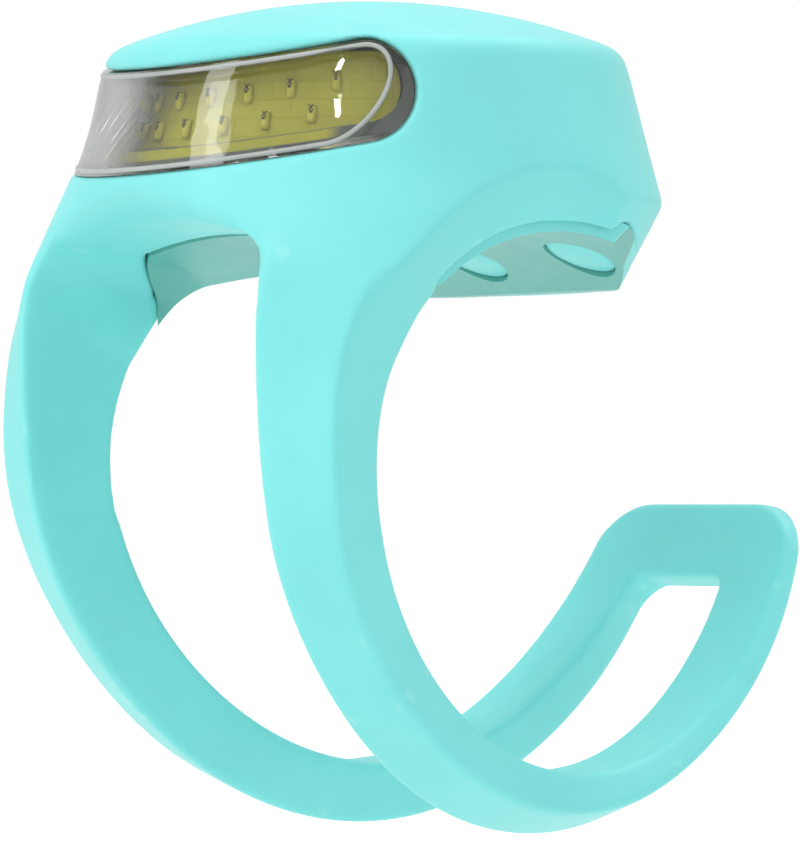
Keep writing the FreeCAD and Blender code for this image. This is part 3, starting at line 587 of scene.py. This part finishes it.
# one moulding: its signed distances on a grid are blurred, and the new surface is thinned where it is flat
def makeSkin():
    s = skinSizes
    cell = s["voxel"]
    source = gatherSkin()
    source.calc_loop_triangles()
    places = np.empty(len(source.vertices) * 3, np.float32)
    source.vertices.foreach_get("co", places)
    corners = np.empty(len(source.loop_triangles) * 3, np.int32)
    source.loop_triangles.foreach_get("vertices", corners)
    spacing = openvdb.createLinearTransform(voxelSize=cell)
    grid = openvdb.FloatGrid.createLevelSetFromPolygons(
        places.reshape(-1, 3) / mm, triangles=corners.reshape(-1, 3).astype(np.uint32), transform=spacing,
        halfWidth=s["reach"] / cell)
    first, last = grid.evalActiveVoxelBoundingBox()
    low = [c - s["spareCells"] for c in first]
    field = np.empty([h + s["spareCells"] + 1 - c for c, h in zip(low, last)], np.float32)
    grid.copyToArray(field, ijk=low)
    field = blurAlongStrap(blurEvenly(field, s["edgeBlur"] / cell), low, cell)
    soft = openvdb.FloatGrid(float(field.max()))
    soft.copyFromArray(field, ijk=low)
    soft.transform = spacing
    soft.gridClass = openvdb.GridClass.LEVEL_SET
    points, triangles, quads = soft.convertToPolygons(isovalue=0.0, adaptivity=0.0)
    mesh = bpy.data.meshes.new("siliconeSkin")
    mesh.from_pydata((points * mm).tolist(), [], quads[:, ::-1].tolist() + triangles[:, ::-1].tolist())
    mesh.update()
    skin = newPiece("siliconeSkin", mesh, silicone)
    count = 2 * len(quads) + len(triangles)
    print("skin triangles before thinning:", count)
    if count > s["mostTriangles"]:
        thin = skin.modifiers.new("thin", "DECIMATE")
        thin.ratio = s["mostTriangles"] / count
        applied(skin)
    skin.data.shade_smooth()
    return skin


# cut the skin at a level, keeping its shading across the cut
def splitSkin(skin):
    level = skinSizes["roofSplit"] * mm
    source = bmesh.new()
    source.from_mesh(skin.data)
    layer = source.verts.layers.float_vector.new("smoothNormal")
    source.normal_update()
    for v in source.verts:
        v[layer] = v.normal
    halves = []
    for name, above in (("siliconeSkin", False), ("siliconeRoof", True)):
        part = source.copy()
        carried = part.verts.layers.float_vector["smoothNormal"]
        geom = part.verts[:] + part.edges[:] + part.faces[:]
        cut = bmesh.ops.bisect_plane(part, geom=geom, dist=1e-7, plane_co=(0, 0, level), plane_no=(0, 0, 1),
                                     clear_inner=above, clear_outer=not above)
        rim = [e for e in cut["geom_cut"] if isinstance(e, bmesh.types.BMEdge)]
        filled = bmesh.ops.triangle_fill(part, edges=rim, use_beauty=True, use_dissolve=False)
        caps = {f for f in filled["geom"] if isinstance(f, bmesh.types.BMFace)}
        part.normal_update()
        outward = -1 if above else 1
        for f in caps:
            if f.normal.z * outward < 0:
                f.normal_flip()
        part.normal_update()
        normals = []
        for f in part.faces:
            f.smooth = True
            for v in f.verts:
                normals.append(f.normal.copy() if f in caps else v[carried].normalized())
        mesh = bpy.data.meshes.new(name)
        part.to_mesh(mesh)
        part.free()
        mesh.normals_split_custom_set(normals)
        mesh.attributes.remove(mesh.attributes["smoothNormal"])
        halves.append(mesh)
    source.free()
    skin.data = halves[0]
    skin.data.materials.clear()
    skin.data.materials.append(silicone)
    return skin, newPiece("siliconeRoof", halves[1], silicone)


skin = makeSkin()
skin, roof = splitSkin(skin)
print("skin:", len(skin.data.polygons), "faces, roof:", len(roof.data.polygons), "faces")
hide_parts("silicone_sleeve", "strap_flex", "strap_loop")
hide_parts("press_dome")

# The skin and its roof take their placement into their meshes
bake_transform(skin)
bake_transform(roof)


# Soft pads in the recesses of the underside plate
padSizes = {"barRadius": 15.9, "recessY": 6.6, "spacing": 12.3, "depth": 0.7, "radius": 2.6, "height": 0.56,
            "sunk": 0.02, "segments": 64, "rounding": 0.12, "roundingSegments": 3, "sharpAngle": 40.0}


# one low round pad with a soft edge on the floor of each recess
def makePads():
    s = padSizes
    slope = math.asin(s["recessY"] / s["barRadius"])
    inward = Vector((0, -math.sin(slope), -math.cos(slope)))
    middle = s["barRadius"] + s["depth"] - s["height"] / 2 - s["sunk"]
    pads = bmesh.new()
    for x in (-s["spacing"], 0, s["spacing"]):
        floor = Vector((x, 0, 0)) - inward * middle
        place = Matrix.Translation(floor * mm) @ inward.to_track_quat("Z", "X").to_matrix().to_4x4()
        made = bmesh.ops.create_cone(pads, cap_ends=True, segments=s["segments"], radius1=s["radius"] * mm,
                                     radius2=s["radius"] * mm, depth=s["height"] * mm, matrix=place)
        caps = {f for v in made["verts"] for f in v.link_faces if len(f.verts) > 4}
        rims = [e for f in caps for e in f.edges]
        bmesh.ops.bevel(pads, geom=rims, offset=s["rounding"] * mm, segments=s["roundingSegments"],
                        profile=0.5, affect="EDGES")
    mesh = bpy.data.meshes.new("recessPads")
    pads.to_mesh(mesh)
    pads.free()
    mesh.shade_smooth()
    mesh.set_sharp_from_angle(angle=math.radians(s["sharpAngle"]))
    return newPiece("recessPads", mesh, silicone)


pads = makePads()
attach(pads, "head")
print("recess pads: 3")


# Lens with its sawn edge
lensSizes = {"weld": 0.003, "faceFacing": 0.6, "sharpAngle": 35.0}


# the lens as one smooth mesh: polished faces, and a satin edge all round
def makeLensPiece(polished, edge):
    s = lensSizes
    shell = bmesh.new()
    shell.from_mesh(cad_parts["lens"].data)
    bmesh.ops.remove_doubles(shell, verts=shell.verts, dist=s["weld"] * mm)
    for face in shell.faces:
        middle = face.calc_center_median()
        outwards = Vector((middle.x, middle.y - headCentreY * mm, 0)).normalized()
        face.material_index = 0 if abs(face.normal.dot(outwards)) > s["faceFacing"] else 1
        face.smooth = True
    mesh = bpy.data.meshes.new("clearLens")
    shell.to_mesh(mesh)
    shell.free()
    mesh.set_sharp_from_angle(angle=math.radians(s["sharpAngle"]))
    piece = newPiece("clearLens", mesh, polished)
    mesh.materials.append(edge)
    return piece


lensEdge = makePlastic("satinPolycarbonateEdge", "#b4b9b6", "#c6cac8", 0.35, 0.5, 0.25, 0.01)
lens = makeLensPiece(finishes["lens"], lensEdge)
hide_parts("lens")
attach(lens, "head")
print("lens:", len(lens.data.polygons), "faces")


# Bead that holds the lens, along the edge of its window; the skew leans its round ends outwards at the top
beadSizes = {"halfHeight": 3.05, "halfAngle": 48.0, "skew": 1.6, "railAngle": 42.5, "sunk": 0.12,
             "radius": 0.2, "roundness": 3, "steps": 40, "rayStart": 40.0}


# points on the lens's outer face along the bead, found by rays towards the head's middle
def beadRoute():
    s = beadSizes
    faces = bmesh.new()
    faces.from_mesh(lens.data)
    tree = BVHTree.FromBMesh(faces)
    faces.free()
    turn = Matrix.Rotation(math.radians(windowPlace["tilt"]), 3, "X")
    centre = Vector((0, headCentreY, windowPlace["middle"]))
    height = s["halfHeight"]
    end = []
    for i in range(s["steps"] // 2 + 1):
        a = math.pi * i / (s["steps"] // 2)
        level = -height * math.cos(a)
        end.append((s["halfAngle"], height * math.sin(a) + s["skew"] * level / height, level))
    rail = [s["railAngle"] * (1 - 2 * i / s["steps"]) for i in range(s["steps"] + 1)]
    route = end + [(angle, 0.0, height) for angle in rail]
    route += [(-angle, -beside, level) for angle, beside, level in reversed(end)]
    route += [(-angle, 0.0, -height) for angle in rail]
    points = []
    for angle, beside, level in route:
        a = math.radians(angle)
        out = turn @ Vector((math.sin(a), -math.cos(a), 0))
        shift = turn @ Vector((beside * math.cos(a), beside * math.sin(a), level))
        hit = tree.ray_cast((centre + shift + out * s["rayStart"]) * mm, -out)[0]
        if hit is not None:
            points.append(hit - out * s["sunk"] * mm)
    return points


# a round bead along that route, closed on itself
def makeBead():
    s = beadSizes
    curve = bpy.data.curves.new("lensBead", "CURVE")
    curve.dimensions = "3D"
    curve.bevel_depth = s["radius"] * mm
    curve.bevel_resolution = s["roundness"]
    points = beadRoute()
    spline = curve.splines.new("NURBS")
    spline.points.add(len(points) - 1)
    for point, place in zip(spline.points, points):
        point.co = (*place, 1.0)
    spline.order_u = 3
    spline.use_cyclic_u = True
    source = bpy.data.objects.new("lensBeadCurve", curve)
    bpy.context.scene.collection.objects.link(source)
    graph = bpy.context.evaluated_depsgraph_get()
    mesh = bpy.data.meshes.new_from_object(source.evaluated_get(graph), depsgraph=graph)
    bpy.data.objects.remove(source)
    mesh.shade_smooth()
    return newPiece("lensBead", mesh,
                    makePlastic("mouldedBeadAbs", "#a3a8a6", "#b5bab8", 0.25, 0.38, 0.3, 0.006))


bead = makeBead()
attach(bead, "head")
print("lens bead:", len(bead.data.polygons), "faces")


# Light packages: sizes that their trees take, in millimetres, and the places that the solids give
packageSizes = {"Width": 0.66, "Height": 1.4, "Depth": 0.14, "Radius": 0.29, "Stretch": 0.4, "Rise": 0.26,
                "Mark Length": 0.5, "Mark Width": 0.09, "Mark Place": 0.42, "Chip": 0.2}
packageForm = {"weld": 0.002, "segments": 20, "rings": 12, "seamTurn": 9.0, "crease": 0.75, "smoothing": 2,
               "markLean": 38.0}


# points at the middle of each package's foot, each with the turn that stands it on the board
def packagePlaces():
    solid = bmesh.new()
    solid.from_mesh(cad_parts["light_packages"].data)
    bmesh.ops.remove_doubles(solid, verts=solid.verts, dist=packageForm["weld"] * mm)
    tall = packageSizes["Height"] * mm
    left = set(solid.verts)
    feet = []
    while left:
        island = [left.pop()]
        for v in island:
            for edge in v.link_edges:
                other = edge.other_vert(v)
                if other in left:
                    left.remove(other)
                    island.append(other)
        middle = sum((v.co for v in island), Vector()) / len(island)
        edges = {e for v in island for e in v.link_edges}
        rise = min(edges, key=lambda e: abs(e.calc_length() - tall))
        up = (rise.verts[0].co - rise.verts[1].co).normalized()
        up = up if up.z > 0 else -up
        out = Vector((middle.x, middle.y - headCentreY * mm, 0)).normalized()
        out = (out - up * out.dot(up)).normalized()
        depth = max(abs((v.co - middle).dot(out)) for v in island)
        feet.append((middle - out * depth, Matrix((up.cross(out), up, out)).transposed().to_euler()))
    solid.free()
    feet.sort(key=lambda foot: tuple(foot[0]))
    mesh = bpy.data.meshes.new("packagePlaces")
    mesh.from_pydata([tuple(place) for place, turn in feet], [], [])
    turns = mesh.attributes.new("turn", "FLOAT_VECTOR", "POINT")
    turns.data.foreach_set("vector", [c for place, turn in feet for c in turn])
    return mesh


# a long dome: a flattened ball whose two halves are pushed apart
def domeShape(tree, sizes):
    form = packageForm
    ball = addNode(tree, "GeometryNodeMeshUVSphere", {"Segments": form["segments"], "Rings": form["rings"],
                                                      "Radius": 1.0})
    scale = addNode(tree, "ShaderNodeCombineXYZ", {
        "X": sizes["Radius"],
        "Y": sizes["Radius"],
        "Z": sizes["Rise"],
    })
    grown = addNode(tree, "GeometryNodeTransform", {
        "Geometry": ball.outputs["Mesh"],
        "Scale": scale.outputs[0],
        "Rotation": (0, 0, math.radians(form["seamTurn"])),
    })
    parts = addNode(tree, "ShaderNodeSeparateXYZ", {0: addNode(tree, "GeometryNodeInputPosition").outputs[0]})
    side = addNode(tree, "ShaderNodeMath", {0: parts.outputs["Y"]}, operation="SIGN")
    push = addNode(tree, "ShaderNodeMath", {0: side.outputs[0], 1: sizes["Stretch"]}, operation="MULTIPLY")
    offset = addNode(tree, "ShaderNodeCombineXYZ", {"Y": push.outputs[0], "Z": sizes["Depth"]})
    return addNode(tree, "GeometryNodeSetPosition", {
        "Geometry": grown.outputs[0],
        "Offset": offset.outputs[0],
    })


# a flat block with soft edges
def bodyShape(tree, sizes):
    form = packageForm
    size = addNode(tree, "ShaderNodeCombineXYZ", {
        "X": sizes["Width"],
        "Y": sizes["Height"],
        "Z": sizes["Depth"],
    })
    block = addNode(tree, "GeometryNodeMeshCube", {"Size": size.outputs[0]})
    soft = addNode(tree, "GeometryNodeSubdivisionSurface", {
        "Mesh": block.outputs["Mesh"],
        "Level": form["smoothing"],
        "Edge Crease": form["crease"],
    })
    half = addNode(tree, "ShaderNodeMath", {0: sizes["Depth"], 1: 0.5}, operation="MULTIPLY")
    lift = addNode(tree, "ShaderNodeCombineXYZ", {"Z": half.outputs[0]})
    return addNode(tree, "GeometryNodeTransform", {"Geometry": soft.outputs["Mesh"],
                                                   "Translation": lift.outputs[0]})


# dark bond wires that cross at the dome's upper end, and the chip under its middle
def markShape(tree, sizes):
    lean = packageForm["markLean"]
    top = addNode(tree, "ShaderNodeMath", {0: sizes["Depth"], 1: sizes["Rise"]}, operation="ADD")
    joined = addNode(tree, "GeometryNodeJoinGeometry")
    for length, width, place, turn in (("Mark Length", "Mark Width", "Mark Place", lean),
                                       ("Mark Length", "Mark Width", "Mark Place", -lean),
                                       ("Chip", "Chip", "Mark Width", 0)):
        size = addNode(tree, "ShaderNodeCombineXYZ", {"X": sizes[width], "Y": sizes[length],
                                                      "Z": sizes["Mark Width"]})
        bar = addNode(tree, "GeometryNodeMeshCube", {"Size": size.outputs[0]})
        there = addNode(tree, "ShaderNodeCombineXYZ", {"Y": sizes[place], "Z": top.outputs[0]})
        laid = addNode(tree, "GeometryNodeTransform", {
            "Geometry": bar.outputs["Mesh"],
            "Translation": there.outputs[0],
            "Rotation": (0, 0, math.radians(turn)),
        })
        tree.links.new(laid.outputs[0], joined.inputs[0])
    return joined


# a piece with one shape on every place, turned as the place says, in one material
def makePackagePart(name, places, shape, material):
    tree = bpy.data.node_groups.new(name, "GeometryNodeTree")
    tree.interface.new_socket("Geometry", in_out="INPUT", socket_type="NodeSocketGeometry")
    identifiers = {}
    for label in packageSizes:
        socket = tree.interface.new_socket(label, in_out="INPUT", socket_type="NodeSocketFloat")
        identifiers[label] = socket.identifier
    tree.interface.new_socket("Geometry", in_out="OUTPUT", socket_type="NodeSocketGeometry")
    start = addNode(tree, "NodeGroupInput")
    turn = addNode(tree, "GeometryNodeInputNamedAttribute", {"Name": "turn"}, data_type="FLOAT_VECTOR")
    rotation = addNode(tree, "FunctionNodeEulerToRotation", {0: turn.outputs[0]})
    one = shape(tree, start.outputs)
    many = addNode(tree, "GeometryNodeInstanceOnPoints", {
        "Points": start.outputs["Geometry"],
        "Instance": one.outputs[0],
        "Rotation": rotation.outputs[0],
    })
    real = addNode(tree, "GeometryNodeRealizeInstances", {"Geometry": many.outputs[0]})
    finish = addNode(tree, "GeometryNodeSetMaterial", {"Geometry": real.outputs[0], "Material": material})
    addNode(tree, "NodeGroupOutput", {"Geometry": finish.outputs[0]})
    piece = newPiece(name, places.copy())
    modifier = piece.modifiers.new("parts", "NODES")
    modifier.node_group = tree
    for label, identifier in identifiers.items():
        modifier[identifier] = packageSizes[label] * mm
    applied(piece)
    return piece


places = packagePlaces()
bodyResin = makePlastic("mouldedPackageResin", "#c9c545", "#d8d45e", 0.3, 0.4, 0.15, 0.004)
chipInk = makePlastic("bondedChip", "#55521c", "#6b6726", 0.3, 0.45, 0.1, 0.004)
domes = makePackagePart("packageDomes", places, domeShape, makeDomeResin())
domes.data.shade_smooth()
bodies = makePackagePart("packageBodies", places, bodyShape, bodyResin)
bodies.data.shade_smooth()
marks = makePackagePart("packageMarks", places, markShape, chipInk)
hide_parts("light_packages")
for piece in (domes, bodies, marks):
    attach(piece, "head")
print("light packages:", len(places.vertices))


# Camera at the photograph's angle: degrees and millimetres
cameraSet = {"azimuth": 53.0, "distance": 440.0, "height": -3.0, "tilt": 0.786, "lens": 263.7, "sensor": 36.0,
             "nearest": 10.0}


def makeCamera():
    c = cameraSet
    data = bpy.data.cameras.new("camera")
    data.lens = c["lens"]
    data.sensor_width = c["sensor"]
    data.clip_start = c["nearest"] * mm
    camera = bpy.data.objects.new("camera", data)
    a = math.radians(c["azimuth"])
    camera.location = (c["distance"] * math.sin(a) * mm, -c["distance"] * math.cos(a) * mm, c["height"] * mm)
    camera.rotation_euler = (math.radians(90 + c["tilt"]), 0, a)
    bpy.context.scene.collection.objects.link(camera)
    bpy.context.scene.camera = camera


# White floor, lower than every place that the strap swings through
stageLook = {"size": 6.0, "below": 30.0, "dark": "#f4f4f2", "light": "#f8f8f6", "patch": 400.0, "glow": 0.6,
             "sky": 0.66}


# painted board, which glows only for the camera
def makeStage():
    look = stageLook
    level = cadBox[0][2] - look["below"] * mm
    bpy.ops.mesh.primitive_plane_add(size=look["size"], location=(0, 0, level))
    floor = bpy.context.object
    floor.name = "floor"
    material, tree, place = startMaterial("paintedFloor")
    ray = addNode(tree, "ShaderNodeLightPath")
    paint = addNode(tree, "ShaderNodeBsdfDiffuse",
                    {"Color": mottled(tree, place, look["patch"], look["dark"], look["light"])})
    seen = addNode(tree, "ShaderNodeMath", {0: ray.outputs["Is Camera Ray"], 1: look["glow"]},
                   operation="MULTIPLY")
    glow = addNode(tree, "ShaderNodeEmission", {"Color": linear("#ffffff"), "Strength": seen.outputs[0]})
    closeMaterial(tree, addNode(tree, "ShaderNodeAddShader", {0: paint.outputs[0], 1: glow.outputs[0]}))
    floor.data.materials.append(material)


# even white light all round, which is full white for the camera and through glass
def makeWorld():
    world = bpy.data.worlds.new("studio")
    bpy.context.scene.world = world
    world.use_nodes = True
    tree = world.node_tree
    tree.nodes.clear()
    ray = addNode(tree, "ShaderNodeLightPath")
    direct = addNode(tree, "ShaderNodeMath", {
        0: ray.outputs["Is Camera Ray"],
        1: ray.outputs["Is Transmission Ray"],
    }, operation="MAXIMUM")
    strength = addNode(tree, "ShaderNodeMapRange", {"Value": direct.outputs[0], "To Min": stageLook["sky"],
                                                    "To Max": 1.0})
    sky = addNode(tree, "ShaderNodeBackground", {"Color": linear("#ffffff"),
                                                 "Strength": strength.outputs["Result"]})
    addNode(tree, "ShaderNodeOutputWorld", {"Surface": sky.outputs[0]})


# Softboxes: place and aim, then width and height in metres, and power in watts
softboxes = {
    "keyFront": ((-0.09, -0.45, 0.66), (0, 0, 0), 0.4, 0.3, 1.35),
    "bandSheet": ((-0.227, -0.623, 0.447), (0, 0, 0), 0.16, 0.5, 1.1),
    "topSheet": ((0.0, 0.25, 0.65), (0, 0, 0), 0.6, 0.6, 2.2),
    "lowFront": ((-0.3, -0.75, 0.06), (0, 0, 0), 0.5, 0.2, 0.25),
    "sideFill": ((0.8, 0.1, 0.1), (0, 0, 0), 0.4, 0.6, 0.35),
    "glintStrip": ((0.42, -0.54, 0.41), (0, 0, 0.02), 0.03, 0.11, 0.3),
}


def addSoftbox(name, place, aim, width, height, power):
    data = bpy.data.lights.new(name, "AREA")
    data.shape = "RECTANGLE"
    data.size = width
    data.size_y = height
    data.energy = power
    light = bpy.data.objects.new(name, data)
    light.location = place
    light.rotation_euler = (Vector(aim) - Vector(place)).to_track_quat("-Z", "Y").to_euler()
    bpy.context.scene.collection.objects.link(light)


makeCamera()
makeStage()
makeWorld()
for name, values in softboxes.items():
    addSoftbox(name, *values)
bpy.context.scene.view_settings.view_transform = "Standard"
print("stage set, softboxes:", len(softboxes))
